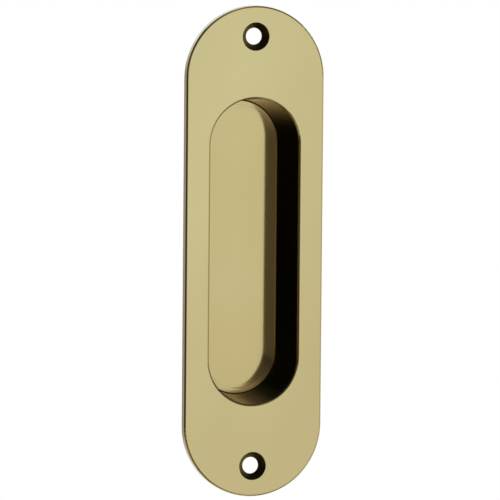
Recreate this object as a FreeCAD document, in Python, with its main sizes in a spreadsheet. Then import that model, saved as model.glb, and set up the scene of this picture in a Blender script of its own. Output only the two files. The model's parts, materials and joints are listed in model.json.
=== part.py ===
import FreeCAD, Part
import math
import os
import Sketcher

# Pocket door pull: a flush pull cast in one piece of brass and polished.
# Frame: +Z runs up the length and the face looks along -Y. The back of the plate, which seats on the door,
# lies in the plane Y = 0, and the origin is the middle of that seat, half way between the two screw holes.

doc = FreeCAD.newDocument("PocketDoorPull")

# Driving sizes, in millimetres and degrees
driving_sizes = [
    ("plate_length", 152.4, "overall height of the plate"),
    ("plate_width", 44.7, "overall width of the plate"),
    ("plate_thickness", 2.5, "seat on the door to the front of the plate"),
    ("front_edge_round", 0.6, "rounding round the front edge of the plate"),
    ("recess_length", 95.2, "finger recess at the face, before its lip is rounded"),
    ("recess_width", 28.9, "finger recess at the face, before its lip is rounded"),
    ("recess_depth", 17.0, "front of the plate to the floor of the recess"),
    ("wall_draft", 5.65, "lean of the recess walls, degrees"),
    ("lip_round", 0.6, "rounding of the lip of the recess"),
    ("floor_round", 0.2, "radius where the walls meet the floor"),
    ("cup_wall", 1.8, "wall of the cup behind the plate, square to the wall"),
    ("cup_floor", 1.8, "thickness of the cup under its floor"),
    ("cup_corner_round", 1.5, "outer corner round the back of the cup"),
    ("cup_root_round", 0.8, "fillet where the cup leaves the back of the plate"),
    ("screw_from_end", 9.525, "centre of each screw hole in from its end of the plate"),
    ("screw_bore", 5.2, "clearance bore for a No. 8 wood screw"),
    ("countersink_width", 8.8, "mouth of the countersink"),
    ("countersink_angle", 82.0, "included angle of the countersink, degrees"),
]

sizes = doc.addObject("Spreadsheet::Sheet", "Sizes")
for row, (alias, value, meaning) in enumerate(driving_sizes, start=1):
    sizes.set(f"A{row}", meaning)
    sizes.set(f"B{row}", str(value))
    sizes.setAlias(f"B{row}", alias)
doc.recompute()

body = doc.addObject("PartDesign::Body", "PullBody")
body.Label = "pull_body"

# Names for the points of a sketched line or arc, and for the sketch's own origin and upright axis
start_point, end_point, centre_point = range(1, 4)
origin_index, upright_axis_index = -1, -2


def face_sketch(name, forward="0"):
    """A sketch parallel to the door face and that far in front of it, with the part's X and Z as its axes."""
    sketch = body.newObject("Sketcher::SketchObject", name)
    door_face = next(plane for plane in body.Origin.OriginFeatures if plane.Role == "XZ_Plane")
    sketch.AttachmentSupport = [(door_face, "")]
    sketch.MapMode = "FlatFace"
    sketch.setExpression("AttachmentOffset.Base.z", forward)
    return sketch


def draw_obround(sketch, length, width):
    """Two straight sides and two full round ends about the origin. Both sizes are expressions."""
    half_run, radius = 50.0, 20.0
    right, top, left, bottom = range(4)
    for across, direction in ((radius, 1), (-radius, -1)):
        low_end = FreeCAD.Vector(across, -half_run * direction, 0)
        high_end = FreeCAD.Vector(across, half_run * direction, 0)
        round_end = Part.Circle(FreeCAD.Vector(0, half_run * direction, 0), FreeCAD.Vector(0, 0, 1), radius)
        first_angle = 0.0 if direction == 1 else math.pi
        sketch.addGeometry(Part.LineSegment(low_end, high_end))
        sketch.addGeometry(Part.ArcOfCircle(round_end, first_angle, first_angle + math.pi))
    for one, following in ((right, top), (top, left), (left, bottom), (bottom, right)):
        sketch.addConstraint(Sketcher.Constraint("Tangent", one, end_point, following, start_point))
    sketch.addConstraint(Sketcher.Constraint("Vertical", right))
    space_apart(sketch, top, bottom, 2 * half_run, f"({length}) - ({width})")
    end_radius = sketch.addConstraint(Sketcher.Constraint("Radius", top, radius))
    sketch.setExpression(f"Constraints[{end_radius}]", f"({width}) / 2")


def space_apart(sketch, upper, lower, drawn, distance):
    """Sets the centres of two circles or arcs on the upright axis, that far apart, even about the origin."""
    centres = (upper, centre_point, lower, centre_point)
    sketch.addConstraint(Sketcher.Constraint("PointOnObject", upper, centre_point, upright_axis_index))
    sketch.addConstraint(Sketcher.Constraint("Symmetric", *centres, origin_index, start_point))
    upwards = (lower, centre_point, upper, centre_point)
    apart = sketch.addConstraint(Sketcher.Constraint("DistanceY", *upwards, drawn))
    sketch.setExpression(f"Constraints[{apart}]", distance)


def edges_on_obround(shape, y, length, width):
    """Names of the edges that lie in the plane at y on the obround of this length and width."""
    half_run, radius = (length - width) / 2, width / 2
    near = 0.001
    names = []
    for number, edge in enumerate(shape.Edges, start=1):
        first, last = edge.ParameterRange
        points = [edge.valueAt(first + share * (last - first)) for share in (0.0, 0.3, 0.6, 1.0)]
        in_plane = all(abs(p.y - y) < near for p in points)
        off_spine = [math.hypot(p.x, max(abs(p.z) - half_run, 0.0)) for p in points]
        if in_plane and all(abs(distance - radius) < near for distance in off_spine):
            names.append(f"Edge{number}")
    return names


# Plate, forward of the door face
plate_outline = face_sketch("PlateOutline")
draw_obround(plate_outline, "Sizes.plate_length", "Sizes.plate_width")
plate = body.newObject("PartDesign::Pad", "Plate")
plate.Profile = plate_outline
plate.setExpression("Length", "Sizes.plate_thickness")

# Cup behind the plate. Its outside follows the recess one wall away, with the same draft.
draft = "Sizes.wall_draft * 1deg"
wall_at_seat = f"(Sizes.cup_wall / cos({draft}) - Sizes.plate_thickness * tan({draft}))"
cup_outline = face_sketch("CupOutline")
cup_length = f"Sizes.recess_length + 2 * {wall_at_seat}"
cup_width = f"Sizes.recess_width + 2 * {wall_at_seat}"
draw_obround(cup_outline, cup_length, cup_width)
cup = body.newObject("PartDesign::Pad", "Cup")
cup.Profile = cup_outline
cup.Reversed = True
cup.setExpression("Length", "Sizes.recess_depth + Sizes.cup_floor - Sizes.plate_thickness")
cup.setExpression("TaperAngle", "-Sizes.wall_draft")

# Finger recess, cut from the front of the plate
lip_outline = face_sketch("LipOutline", "Sizes.plate_thickness")
draw_obround(lip_outline, "Sizes.recess_length", "Sizes.recess_width")
recess = body.newObject("PartDesign::Pocket", "Recess")
recess.Profile = lip_outline
recess.setExpression("Length", "Sizes.recess_depth")
recess.setExpression("TaperAngle", "-Sizes.wall_draft")
doc.recompute()

# Two countersunk screw holes on the long axis, from the front right through the plate
screw_centres = face_sketch("ScrewCentres", "Sizes.plate_thickness")
screw_reach = sizes.plate_length / 2 - sizes.screw_from_end
for place in (screw_reach, -screw_reach):
    ring = Part.Circle(FreeCAD.Vector(0, place, 0), FreeCAD.Vector(0, 0, 1), sizes.screw_bore / 2)
    hole = screw_centres.addGeometry(ring)
    across = screw_centres.addConstraint(Sketcher.Constraint("Diameter", hole, sizes.screw_bore))
    screw_centres.setExpression(f"Constraints[{across}]", "Sizes.screw_bore")
space_apart(screw_centres, 0, 1, 2 * screw_reach, "Sizes.plate_length - 2 * Sizes.screw_from_end")
screw_holes = body.newObject("PartDesign::Hole", "ScrewHoles")
screw_holes.Profile = screw_centres
doc.recompute()
screw_holes.ThreadType = "None"
screw_holes.DepthType = "ThroughAll"
screw_holes.HoleCutType = "Countersink"
screw_holes.setExpression("Diameter", "Sizes.screw_bore")
screw_holes.setExpression("HoleCutDiameter", "Sizes.countersink_width")
screw_holes.setExpression("HoleCutCountersinkAngle", "Sizes.countersink_angle")
doc.recompute()

# Outlines that the roundings follow: place along Y, length and width
lean = math.tan(math.radians(sizes.wall_draft))
front = -sizes.plate_thickness
recess_floor = front + sizes.recess_depth
cup_back = recess_floor + sizes.cup_floor
wall_across = 2 * (sizes.cup_wall / math.cos(math.radians(sizes.wall_draft)) - sizes.plate_thickness * lean)
in_at_floor = 2 * lean * sizes.recess_depth
out_at_back = wall_across - 2 * lean * cup_back
recess_length, recess_width = sizes.recess_length, sizes.recess_width
outlines = {
    "FloorRound": (recess_floor, recess_length - in_at_floor, recess_width - in_at_floor),
    "LipRound": (front, recess_length, recess_width),
    "CupCornerRound": (cup_back, recess_length + out_at_back, recess_width + out_at_back),
    "CupRootRound": (0.0, recess_length + wall_across, recess_width + wall_across),
    "FrontEdgeRound": (front, sizes.plate_length, sizes.plate_width),
}
radii = {
    "FloorRound": "Sizes.floor_round",
    "LipRound": "Sizes.lip_round",
    "CupCornerRound": "Sizes.cup_corner_round",
    "CupRootRound": "Sizes.cup_root_round",
    "FrontEdgeRound": "Sizes.front_edge_round",
}
shaped = screw_holes
for name, outline in outlines.items():
    rounding = body.newObject("PartDesign::Fillet", name)
    rounding.Base = (shaped, edges_on_obround(shaped.Shape, *outline))
    rounding.setExpression("Radius", radii[name])
    doc.recompute()
    shaped = rounding

# Nothing is written unless every feature built and the pull is one sound solid
for item in doc.Objects:
    if "Invalid" in item.State or "Error" in item.State:
        raise RuntimeError(f"{item.Name} did not build: {item.State}")
if body.Shape.isNull() or not body.Shape.isValid() or len(body.Shape.Solids) != 1:
    raise RuntimeError("the pull is not one sound solid")

os.makedirs("parts", exist_ok=True)
body.Shape.exportStep(os.path.join("parts", f"{body.Label}.step"))
brass_density = 8.5e-6
volume = body.Shape.Volume
print(f"{body.Label}: volume {volume:.0f} mm3, {volume * brass_density:.3f} kg in brass")
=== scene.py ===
import bpy
import json
import math
from mathutils import Matrix, Vector

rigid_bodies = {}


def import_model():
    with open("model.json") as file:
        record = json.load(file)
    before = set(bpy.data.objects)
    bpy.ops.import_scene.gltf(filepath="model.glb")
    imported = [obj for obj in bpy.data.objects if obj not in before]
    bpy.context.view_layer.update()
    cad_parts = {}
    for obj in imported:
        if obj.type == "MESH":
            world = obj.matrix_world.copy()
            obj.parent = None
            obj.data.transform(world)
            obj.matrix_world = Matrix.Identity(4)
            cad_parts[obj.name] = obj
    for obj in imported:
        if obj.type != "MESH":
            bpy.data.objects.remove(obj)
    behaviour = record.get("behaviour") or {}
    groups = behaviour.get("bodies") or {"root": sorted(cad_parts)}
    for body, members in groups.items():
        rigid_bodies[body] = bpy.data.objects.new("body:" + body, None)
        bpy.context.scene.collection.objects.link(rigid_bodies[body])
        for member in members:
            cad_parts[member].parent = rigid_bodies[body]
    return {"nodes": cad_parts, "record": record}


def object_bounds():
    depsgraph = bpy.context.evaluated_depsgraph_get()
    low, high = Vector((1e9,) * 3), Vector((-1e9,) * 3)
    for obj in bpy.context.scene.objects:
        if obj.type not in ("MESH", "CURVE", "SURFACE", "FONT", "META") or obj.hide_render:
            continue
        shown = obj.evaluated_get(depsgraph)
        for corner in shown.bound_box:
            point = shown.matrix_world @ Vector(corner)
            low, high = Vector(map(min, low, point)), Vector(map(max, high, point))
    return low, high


# Pocket door pull: one polished brass casting, looked at from a little left of square on and slightly above.
# Lengths are metres in the frame's own axes: +Z up the plate, the face looks along -Y, the seat is y = 0.

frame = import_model()
cadBox = [list(corner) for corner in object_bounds()]
for loaded in bpy.data.objects:
    loaded.select_set(False)
mm = 0.001
pull = frame["nodes"]["pull_body"]
screwHoles = next(mount for mount in frame["record"]["mounts"] if mount["name"] == "screw_holes")
print("frame loaded")


def linear(hexColour):  # sRGB hex to the linear colour that a shader takes
    channels = [int(hexColour[start:start + 2], 16) / 255 for start in (0, 2, 4)]
    return [c / 12.92 if c <= 0.04045 else ((c + 0.055) / 1.055) ** 2.4 for c in channels] + [1.0]


def addNode(tree, kind, settings={}, inputs={}):
    # An input is given as a value, a socket, or a node, which then feeds it from its first output in use
    node = tree.nodes.new(kind)
    for name, value in settings.items():
        setattr(node, name, value)
    for name, value in inputs.items():
        named = [socket for socket in node.inputs if socket.enabled and socket.name == name]
        socket = named[0] if named else node.inputs[name]
        if isinstance(value, bpy.types.Node):
            value = next(output for output in value.outputs if output.enabled)
        if isinstance(value, bpy.types.NodeSocket):
            tree.links.new(value, socket)
        else:
            socket.default_value = value
    return node


def newMaterial(name):
    material = bpy.data.materials.new(name)
    material.use_nodes = True
    material.node_tree.nodes.clear()
    return material, material.node_tree


white = linear("FFFFFF")

# The photograph's camera: angles in degrees, and an aim beside the origin
photoView = {
    "azimuth": -18.5,
    "elevation": 5.384,
    "roll": 0.49,
    "distance": 2.032,
    "aimRight": -0.52 * mm,
    "aimUp": 0.373 * mm,
    "lens": 472.7,               # in mm, as the sensor's width is
    "sensor": 36.0,
    "nearest": 0.1,
    "farthest": 20.0,
}


def addCamera():
    azimuth, elevation, roll = (math.radians(photoView[k]) for k in ("azimuth", "elevation", "roll"))
    towards = Vector((math.sin(azimuth) * math.cos(elevation),
                      -math.cos(azimuth) * math.cos(elevation),
                      math.sin(elevation)))
    place = towards * photoView["distance"]
    acrossView = Vector((math.cos(azimuth), math.sin(azimuth), 0))
    aim = acrossView * photoView["aimRight"] + towards.cross(acrossView) * photoView["aimUp"]
    back = (place - aim).normalized()
    right = towards.cross(acrossView).cross(back).normalized()
    up = back.cross(right)
    turnedRight = right * math.cos(roll) + up * math.sin(roll)
    turnedUp = up * math.cos(roll) - right * math.sin(roll)
    data = bpy.data.cameras.new("camera")
    data.lens = photoView["lens"]
    data.sensor_width = photoView["sensor"]
    data.clip_start = photoView["nearest"]
    data.clip_end = photoView["farthest"]
    camera = bpy.data.objects.new("camera", data)
    columns = Matrix((turnedRight, turnedUp, back)).transposed()
    camera.matrix_world = Matrix.Translation(place) @ columns.to_4x4()
    bpy.context.scene.collection.objects.link(camera)
    bpy.context.scene.camera = camera


addCamera()
print("camera placed")

# The studio that the metal mirrors, by direction in degrees: azimuth 0 is straight in front of the face and
# grows to its right, elevation 0 is level. A fade runs from one angle to another, between two strengths, and
# the steps build the light from the fades: a bright low panel right of the camera, a dimmer one above it, a
# dark left with a dim card at its end, and white walls behind. What the metal mirrors at once, but not what
# it mirrors twice inside the recess, also has an open window above and a fill below. A dark flag between
# them, at eye level, draws the dark line down the plate's left edge.
studio = {
    "fades": {
        "glow": ("azimuth", -25, 18, 0.0, 1.0),
        "faceEnd": ("azimuth", 17.8, 19.4, 1.0, 0.93),
        "panelEnd": ("azimuth", 22, 32, 1.0, 0.76),
        "foot": ("elevation", -17.3, -14.1, 0.77, 1.0),
        "lowest": ("elevation", -50, -28, 0.2, 1.0),
        "slope": ("elevation", -9, -3, 0.93, 1.03),
        "lowPart": ("elevation", -3, 0.5, 1.0, 0.0),
        "upperLeft": ("azimuth", -12, -6.6, 0.0, 0.14),
        "upperRight": ("azimuth", -2.2, 9.1, 0.0, 0.38),
        "highPart": ("elevation", -2.9, 1.7, 0.0, 1.0),
        "head": ("elevation", 7, 23.4, 1.0, 0.22),
        "crown": ("elevation", 23, 32, 1.0, 0.4),
        "rightWall": ("azimuth", 78, 108, 0.0, 1.0),
        "leftWall": ("azimuth", -142, -112, 1.0, 0.0),
        "leftSide": ("azimuth", -44, -33, 0.3, 0.0),
        "leftLow": ("elevation", -24, -12, 1.0, 0.25),
        "openLeft": ("azimuth", -22, -16, 0.0, 0.9),
        "openRight": ("azimuth", 17, 22, 1.0, 0.5),
        "overFlag": ("elevation", -3, 0, 0.0, 1.0),
        "openTop": ("elevation", 5, 14, 1.0, 0.3),
        "underFlag": ("elevation", -15, -11, 0.5, 0.0),
        "fillLeft": ("azimuth", -52, -48, 0.0, 1.0),
        "openFoot": ("elevation", -36, -25, 0.1, 1.0),
        "coolLeft": ("azimuth", -2, 8, 1.0, 0.0),
        "coolHigh": ("elevation", 16, 24, 0.0, 1.0),
    },
    "evenFades": ("glow",),      # the fades that run evenly, the rest ease in and out
    "steps": (
        ("fall", "POWER", "glow", 2.0),
        ("ended", "MULTIPLY", "fall", "faceEnd"),
        ("passed", "MULTIPLY", "ended", "panelEnd"),
        ("lit", "MULTIPLY", "passed", "foot"),
        ("lower", "MULTIPLY", "lit", "lowest"),
        ("sloped", "MULTIPLY", "lower", "slope"),
        ("lowPanel", "MULTIPLY", "sloped", "lowPart"),
        ("across", "ADD", "upperLeft", "upperRight"),
        ("headed", "MULTIPLY", "across", "head"),
        ("crowned", "MULTIPLY", "headed", "crown"),
        ("highPanel", "MULTIPLY", "crowned", "highPart"),
        ("panels", "ADD", "lowPanel", "highPanel"),
        ("leftCard", "MULTIPLY", "leftSide", "leftLow"),
        ("walls", "MAXIMUM", "rightWall", "leftWall"),
        ("room", "MAXIMUM", "walls", "leftCard"),
        ("light", "MAXIMUM", "panels", "room"),
        ("window", "MULTIPLY", "openLeft", "openRight"),
        ("topped", "MULTIPLY", "window", "openTop"),
        ("opened", "MULTIPLY", "topped", "overFlag"),
        ("fill", "MULTIPLY", "underFlag", "fillLeft"),
        ("open", "MAXIMUM", "opened", "fill"),
        ("front", "MULTIPLY", "open", "openFoot"),
        ("faceLight", "MAXIMUM", "light", "front"),
        ("cool", "MULTIPLY", "coolLeft", "coolHigh"),
    ),
    "onceMirrored": 2.5,         # between the ray depths of a first and a second mirror image
    # the light's colour by its strength, and the cooler colour of what is high up on the left
    "tones": ((0.0, "FFEDF9"), (0.16, "FFECEE"), (0.3, "FFF0D2"),
              (0.55, "FFE9D4"), (0.85, "FFF6ED"), (1.0, "FFFFFF")),
    "coolTone": "DFF3FF",
    "unseen": 0.9,               # what the world gives to everything that isn't a mirror image
    "floorRadius": 0.3,
    "floorSides": 96,
    "floorDrop": 0.9,            # how far the floor lies below the middle of the pull
    "floorColour": "F4F3F0",
    "floorShade": 0.2,           # share of the floor that takes a shadow, the rest is plain white
    "lampPlace": (0.5, -0.7, 1.6),
    "lampSize": 0.9,
    "lampPower": 8.0,
}


def addStudioLight(tree):
    ray = addNode(tree, "ShaderNodeTexCoord").outputs["Generated"]
    axes = addNode(tree, "ShaderNodeSeparateXYZ", {}, {"Vector": ray}).outputs
    ahead = addNode(tree, "ShaderNodeMath", {"operation": "MULTIPLY"}, {0: axes["Y"], 1: -1.0})
    turn = addNode(tree, "ShaderNodeMath", {"operation": "ARCTAN2"}, {0: axes["X"], 1: ahead})
    rise = addNode(tree, "ShaderNodeMath", {"operation": "ARCSINE"}, {0: axes["Z"]})
    angles = {}
    for name, angle in (("azimuth", turn), ("elevation", rise)):
        angles[name] = addNode(tree, "ShaderNodeMath", {"operation": "DEGREES"}, {0: angle})
    light = {}
    for name, (angle, start, end, low, high) in studio["fades"].items():
        kind = "LINEAR" if name in studio["evenFades"] else "SMOOTHSTEP"
        ends = {"From Min": start, "From Max": end, "To Min": low, "To Max": high}
        light[name] = addNode(tree, "ShaderNodeMapRange", {"interpolation_type": kind},
                              {"Value": angles[angle], **ends})
    for name, operation, first, second in studio["steps"]:
        parts = {0: light[first], 1: light.get(second, second)}
        light[name] = addNode(tree, "ShaderNodeMath", {"operation": operation}, parts)
    return light


def addStudio():
    world = bpy.data.worlds.new("studio")
    bpy.context.scene.world = world
    world.use_nodes = True
    tree = world.node_tree
    tree.nodes.clear()
    light = addStudioLight(tree)
    path = addNode(tree, "ShaderNodeLightPath").outputs
    twice = addNode(tree, "ShaderNodeMath", {"operation": "GREATER_THAN"},
                    {0: path["Ray Depth"], 1: studio["onceMirrored"]})
    met = addNode(tree, "ShaderNodeMix", {"data_type": "FLOAT"},
                  {"Factor": twice, "A": light["faceLight"], "B": light["light"]})
    tone = addNode(tree, "ShaderNodeValToRGB", {}, {"Fac": met})
    stops = tone.color_ramp.elements
    for end in (0, -1):
        stops[end].color = linear(studio["tones"][end][1])
    for place, shade in studio["tones"][1:-1]:
        stops.new(place).color = linear(shade)
    mirrored = addNode(tree, "ShaderNodeMix", {"data_type": "RGBA"},
                       {"Factor": light["cool"], "A": tone, "B": linear(studio["coolTone"])})
    colour = addNode(tree, "ShaderNodeMix", {"data_type": "RGBA"},
                     {"Factor": path["Is Glossy Ray"], "A": white, "B": mirrored})
    plain = addNode(tree, "ShaderNodeMix", {"data_type": "FLOAT"},
                    {"Factor": path["Is Glossy Ray"], "A": studio["unseen"], "B": met})
    seen = addNode(tree, "ShaderNodeMath", {"operation": "MAXIMUM"},
                   {0: path["Is Camera Ray"], 1: path["Is Transmission Ray"]})
    strength = addNode(tree, "ShaderNodeMix", {"data_type": "FLOAT"}, {"Factor": seen, "A": plain, "B": 1.0})
    background = addNode(tree, "ShaderNodeBackground", {}, {"Color": colour, "Strength": strength})
    addNode(tree, "ShaderNodeOutputWorld", {}, {"Surface": background})


def mattWhitePaper():
    # Paper: plain white wherever it is looked at or mirrored, with enough shade left to show a soft shadow
    material, tree = newMaterial("mattWhitePaper")
    path = addNode(tree, "ShaderNodeLightPath").outputs
    looked = path["Is Camera Ray"]
    for kind in ("Is Glossy Ray", "Is Transmission Ray"):
        looked = addNode(tree, "ShaderNodeMath", {"operation": "MAXIMUM"}, {0: looked, 1: path[kind]})
    share = addNode(tree, "ShaderNodeMath", {"operation": "MULTIPLY"},
                    {0: looked, 1: 1 - studio["floorShade"]})
    matt = addNode(tree, "ShaderNodeBsdfDiffuse", {}, {"Color": linear(studio["floorColour"])})
    glow = addNode(tree, "ShaderNodeEmission", {}, {"Color": white, "Strength": 1.0})
    mixed = addNode(tree, "ShaderNodeMixShader", {}, {0: share, 1: matt, 2: glow})
    addNode(tree, "ShaderNodeOutputMaterial", {}, {"Surface": mixed})
    return material


def addFloorAndLamp():
    bpy.ops.mesh.primitive_circle_add(vertices=studio["floorSides"], radius=studio["floorRadius"],
                                      fill_type="NGON", location=(0, 0, -studio["floorDrop"]))
    floor = bpy.context.object
    floor.name = "floor"
    floor.data.materials.append(mattWhitePaper())
    place = Vector(studio["lampPlace"])
    turned = place.to_track_quat("Z", "Y").to_euler()
    bpy.ops.object.light_add(type="AREA", location=place, rotation=turned)
    lamp = bpy.context.object
    lamp.name = "softLamp"
    lamp.data.shape = "DISK"
    lamp.data.size = studio["lampSize"]
    lamp.data.energy = studio["lampPower"]
    lamp.visible_camera = False
    lamp.visible_glossy = False  # the metal mirrors the studio's panels alone


addStudio()
addFloorAndLamp()
print("studio made")

# Cast brass, its face and recess buffed to a mirror and the rest left duller. The sizes are the casting's
# own, and place the finishes on it.
brass = {
    "recessLength": 95.2 * mm,
    "recessWidth": 28.9 * mm,
    "recessDepth": 17.0 * mm,
    "draft": 5.65,               # lean of the recess's walls in degrees
    "wall": 1.8 * mm,
    "countersinkWidth": 8.8 * mm,
    # each finish: its two colours, its least and most roughness, and the pattern that goes between them
    "finishes": {
        "polished": ("CCC290", "C7BD8B", 0.050, 0.065, "clouds"),
        "recess": ("CABE8A", "C7BA85", 0.075, 0.090, "clouds"),
        "wall": ("C8BA86", "C2B47E", 0.045, 0.060, "clouds"),
        "ends": ("C8BC8C", "BFB284", 0.060, 0.150, "lines"),
        # painted shade: the corners where the recess's walls meet its floor at the round ends are painted
        # dark brown
        "creasePaintedShade": ("7A643C", "5A4826", 0.25, 0.35, "lines"),
        # painted reflection: the plate's straight sides are duller and grainy, and their colour is painted
        # dark, a painted dark reflection
        "sideWithPaintedReflection": ("7A6848", "6A5A3C", 0.24, 0.34, "grain"),
        # painted highlight: where the sides turn round the plate's ends their colour is painted paler than
        # the face
        "sideEndPaintedHighlight": ("D2C8A2", "C8BD94", 0.10, 0.20, "clouds"),
        # painted reflection: the countersinks are painted dark brown, standing for the dark reflections in
        # their cones
        "screw": ("4A3F28", "3C3220", 0.30, 0.40, "grain"),
        "back": ("AD9C66", "94824F", 0.36, 0.52, "grain"),
    },
    # the specular tint keeps the countersinks' painted dark reflection brown where they turn away from the
    # eye
    "screwGlance": "F4E4C0",     # the countersinks stay brown where they turn away from the eye
    # each pattern: its size across and along, and its detail
    "patterns": {
        "clouds": (26 * mm, 40 * mm, 2.0),   # where the wheel pressed more and less
        "lines": (0.5 * mm, 14 * mm, 2.0),   # buffing lines, drawn ten times too wide so that they show
        "grain": (0.8 * mm, 0.8 * mm, 3.0),  # the skin that the sand mould leaves
    },
    "noiseRange": (0.3, 0.7),    # the part of the noise that a pattern is spread over
    "grainDepth": 0.02 * mm,
    "lineDepth": 0.013 * mm,
    "lineShares": (0.03, 0.13),  # how much of that depth is on the face, and at the recess's round ends
    "lowEndStreaks": 0.87,       # and how much more at the recess's bottom end
}

# Where the casting's faces are, and the radius of each round end and how far its centre lies from the middle
front = min(corner[1] for corner in cadBox)
recessFloor = front + brass["recessDepth"]
mouthRadius = brass["recessWidth"] / 2
mouthCentre = brass["recessLength"] / 2 - mouthRadius
plateRadius = max(corner[0] for corner in cadBox)
plateCentre = max(corner[2] for corner in cadBox) - plateRadius
screwRadius = brass["countersinkWidth"] / 2
screwCentre = screwHoles["dims"]["spacing_y_mm"] / 2 * mm


def addFinishMasks(tree, axes, up, away):
    # With the walls' lean taken out, a wall of the recess is as far out at its floor as at its mouth
    midWall = mouthRadius + brass["wall"] / 2
    lean = math.tan(math.radians(brass["draft"]))
    drift = addNode(tree, "ShaderNodeMath", {"operation": "MULTIPLY_ADD"},
                    {0: axes["Y"], 1: lean, 2: -front * lean})
    straight = addNode(tree, "ShaderNodeMath", {"operation": "ADD"}, {0: away["recess"], 1: drift})
    # Each edge: what is measured, where the mask begins, and where it is full
    edges = (
        ("withinWall", straight, midWall, midWall - 0.2 * mm),
        ("nearWall", straight, mouthRadius - 0.35 * mm, mouthRadius - 0.15 * mm),
        ("roundWall", straight, mouthRadius - 3 * mm, mouthRadius - 1.5 * mm),
        ("belowFace", axes["Y"], front + 0.1 * mm, front + 0.6 * mm),
        ("nearFloor", axes["Y"], recessFloor - 0.35 * mm, recessFloor - 0.15 * mm),
        ("aboveFloor", axes["Y"], recessFloor + 1.0 * mm, recessFloor + 0.8 * mm),
        ("pastRecess", up, mouthCentre - 2 * mm, mouthCentre + 5 * mm),
        ("low", axes["Z"], 2 * mm, -2 * mm),
        ("atRim", away["plate"], plateRadius - 0.4 * mm, plateRadius - 0.15 * mm),
        ("behindRound", axes["Y"], front + 0.35 * mm, front + 0.75 * mm),
        ("pastPlate", up, plateCentre + 2 * mm, plateCentre + 12 * mm),
        ("atScrew", away["screw"], screwRadius + 0.1 * mm, screwRadius - 0.1 * mm),
        ("inScrew", axes["Y"], front + 0.05 * mm, front + 0.15 * mm),
        ("behindSeat", axes["Y"], -0.15 * mm, -0.05 * mm),
    )
    # Each mask here is where two others meet
    meetings = (
        ("recessSide", "withinWall", "belowFace"),
        ("recess", "recessSide", "aboveFloor"),
        ("wall", "recess", "nearWall"),
        ("round", "roundWall", "pastRecess"),
        ("ends", "recess", "round"),
        ("lowEnd", "ends", "low"),
        ("corner", "wall", "nearFloor"),
        # painted shade lies in the corners where the walls meet the floor past the recess's straight part
        ("creasePaintedShade", "corner", "pastRecess"),
        # the plate's straight sides, whose colour holds a painted dark reflection
        ("sideWithPaintedReflection", "atRim", "behindRound"),
        # the sides round the plate's ends, painted paler as a painted highlight
        ("sideEndPaintedHighlight", "sideWithPaintedReflection", "pastPlate"),
        # the countersinks' cones, painted dark as a painted reflection
        ("screw", "atScrew", "inScrew"),
    )
    mask = {}
    for name, measured, start, full in edges:
        mask[name] = addNode(tree, "ShaderNodeMapRange", {},
                             {"Value": measured, "From Min": start, "From Max": full})
    for name, first, second in meetings:
        mask[name] = addNode(tree, "ShaderNodeMath", {"operation": "MULTIPLY"},
                             {0: mask[first], 1: mask[second]})
    outside = addNode(tree, "ShaderNodeMath", {"operation": "SUBTRACT"}, {0: 1.0, 1: mask["recess"]})
    mask["back"] = addNode(tree, "ShaderNodeMath", {"operation": "MULTIPLY"},
                           {0: outside, 1: mask["behindSeat"]})
    return mask


def addPatterns(tree, axes, away, mask):
    # The patterns run along the plate, and turn with the round ends inside the recess
    across = addNode(tree, "ShaderNodeMix", {"data_type": "FLOAT"},
                     {"Factor": mask["recess"], "A": axes["X"], "B": away["recess"]})
    low, high = brass["noiseRange"]
    pattern = {}
    for name, (wide, tall, detail) in brass["patterns"].items():
        along = addNode(tree, "ShaderNodeMath", {"operation": "MULTIPLY"}, {0: axes["Z"], 1: wide / tall})
        spot = addNode(tree, "ShaderNodeCombineXYZ", {}, {"X": across, "Y": axes["Y"], "Z": along})
        noise = addNode(tree, "ShaderNodeTexNoise", {},
                        {"Vector": spot, "Scale": 1 / wide, "Detail": detail})
        pattern[name] = addNode(tree, "ShaderNodeMapRange", {},
                                {"Value": noise, "From Min": low, "From Max": high})
    return pattern


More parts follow.
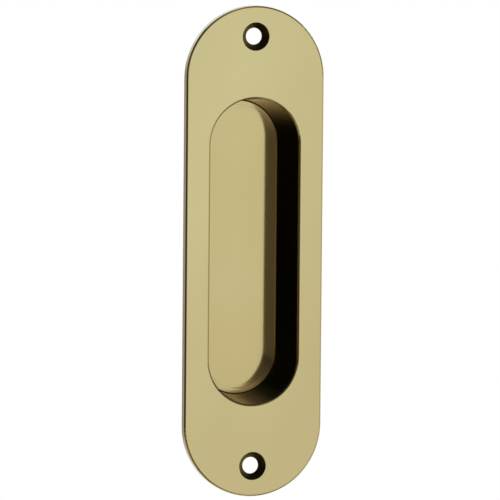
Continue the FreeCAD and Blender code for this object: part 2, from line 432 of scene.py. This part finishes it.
def polishedBrass():
    # Brass: cast, then buffed on a wheel. The front is a near mirror with faint lines along the plate and
    # round the recess, and streaks at the recess's round ends. The plate's straight sides and the
    # countersinks are duller, and darker by a painted dark reflection in their colour; the sides are painted
    # paler where they turn round the plate's ends, a painted highlight, and the corners at the recess's
    # round ends hold painted shade. The skin is satin and grainy where the wheel didn't reach
    material, tree = newMaterial("polishedCastBrass")
    place = addNode(tree, "ShaderNodeTexCoord").outputs["Object"]
    axes = addNode(tree, "ShaderNodeSeparateXYZ", {}, {"Vector": place}).outputs
    up = addNode(tree, "ShaderNodeMath", {"operation": "ABSOLUTE"}, {0: axes["Z"]})
    # How far a point is from the line between the centres of two round ends, or from a screw's own centre
    centres = (
        ("recess", mouthCentre, 0.0),
        ("plate", plateCentre, 0.0),
        ("screw", screwCentre, -screwCentre),
    )
    away = {}
    for name, centre, least in centres:
        past = addNode(tree, "ShaderNodeMath", {"operation": "SUBTRACT"}, {0: up, 1: centre})
        along = addNode(tree, "ShaderNodeMath", {"operation": "MAXIMUM"}, {0: past, 1: least})
        offset = addNode(tree, "ShaderNodeCombineXYZ", {}, {"X": axes["X"], "Z": along})
        away[name] = addNode(tree, "ShaderNodeVectorMath", {"operation": "LENGTH"}, {0: offset})
    mask = addFinishMasks(tree, axes, up, away)
    pattern = addPatterns(tree, axes, away, mask)

    # Each finish covers those before it where its mask is full. The first has no mask and covers everything
    colour, roughness = white, 0.0
    for name, (light, dark, smooth, dull, marks) in brass["finishes"].items():
        share = mask.get(name, 1.0)
        shade = addNode(tree, "ShaderNodeMix", {"data_type": "RGBA"},
                        {"Factor": pattern[marks], "A": linear(light), "B": linear(dark)})
        wear = addNode(tree, "ShaderNodeMapRange", {},
                       {"Value": pattern[marks], "To Min": smooth, "To Max": dull})
        colour = addNode(tree, "ShaderNodeMix", {"data_type": "RGBA"},
                         {"Factor": share, "A": colour, "B": shade})
        roughness = addNode(tree, "ShaderNodeMix", {"data_type": "FLOAT"},
                            {"Factor": share, "A": roughness, "B": wear})
    faint, streaky = brass["lineShares"]
    buffed = addNode(tree, "ShaderNodeMapRange", {},
                     {"Value": mask["ends"], "To Min": faint, "To Max": streaky})
    streaked = addNode(tree, "ShaderNodeMath", {"operation": "MULTIPLY_ADD"},
                       {0: mask["lowEnd"], 1: brass["lowEndStreaks"], 2: buffed})
    lined = addNode(tree, "ShaderNodeBump", {},
                    {"Height": pattern["lines"], "Strength": streaked, "Distance": brass["lineDepth"]})
    cast = addNode(tree, "ShaderNodeMath", {"operation": "MAXIMUM"}, {0: mask["back"], 1: mask["sideWithPaintedReflection"]})
    relief = addNode(tree, "ShaderNodeBump", {},
                     {"Height": pattern["grain"], "Strength": cast, "Distance": brass["grainDepth"],
                      "Normal": lined})
    glance = addNode(tree, "ShaderNodeMix", {"data_type": "RGBA"},
                     {"Factor": mask["screw"], "A": white, "B": linear(brass["screwGlance"])})
    metal = addNode(tree, "ShaderNodeBsdfPrincipled", {},
                    {"Base Color": colour, "Metallic": 1.0, "Roughness": roughness,
                     "Specular Tint": glance, "Normal": relief})
    addNode(tree, "ShaderNodeOutputMaterial", {}, {"Surface": metal})
    return material


pull.material_slots[0].material = polishedBrass()
print("brass on")

bpy.context.scene.view_settings.view_transform = "Standard"
